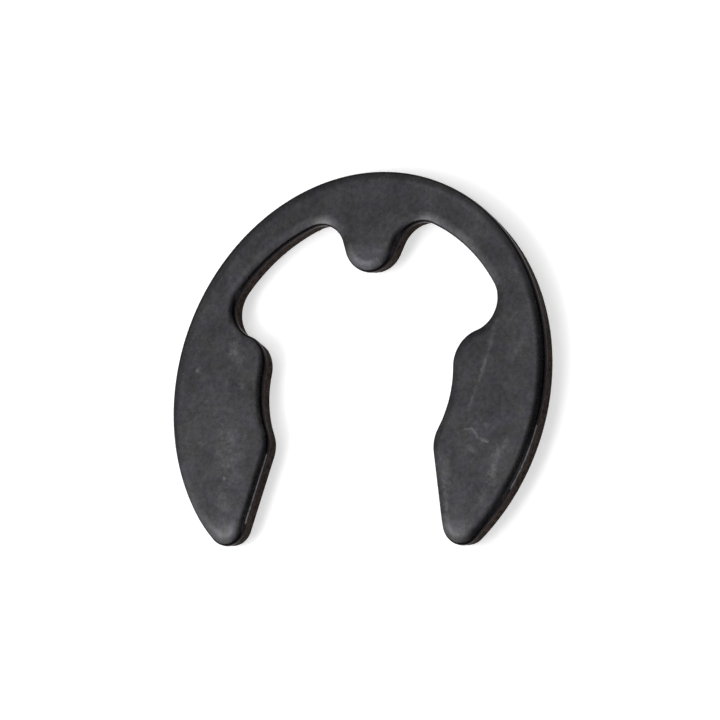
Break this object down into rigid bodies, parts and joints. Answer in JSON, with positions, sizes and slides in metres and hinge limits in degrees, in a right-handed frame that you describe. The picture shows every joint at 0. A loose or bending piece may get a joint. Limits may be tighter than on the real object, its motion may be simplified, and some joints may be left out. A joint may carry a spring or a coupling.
{
  "type": "e-clip retaining ring",
  "caption": "Flat stamped retaining clip in blackened spring steel: a curved beam with tapered legs, a round prong between them and a flared mouth that snaps sideways over a grooved shaft.",
  "frame": {"origin": "on the shaft's axis, the centre of the seat circle, at the back face that the clip lies on", "axes": "+Z out of the front face, the face with the rolled edge; -Y out of the mouth; +X across the legs"},
  "size_m": [0.029, 0.0252, 0.0015],
  "materials": {
    "black_spring_steel": "satin"
  },
  "bodies": {
    "root": {"e_clip": "black_spring_steel"}
  },
  "joints": []
}
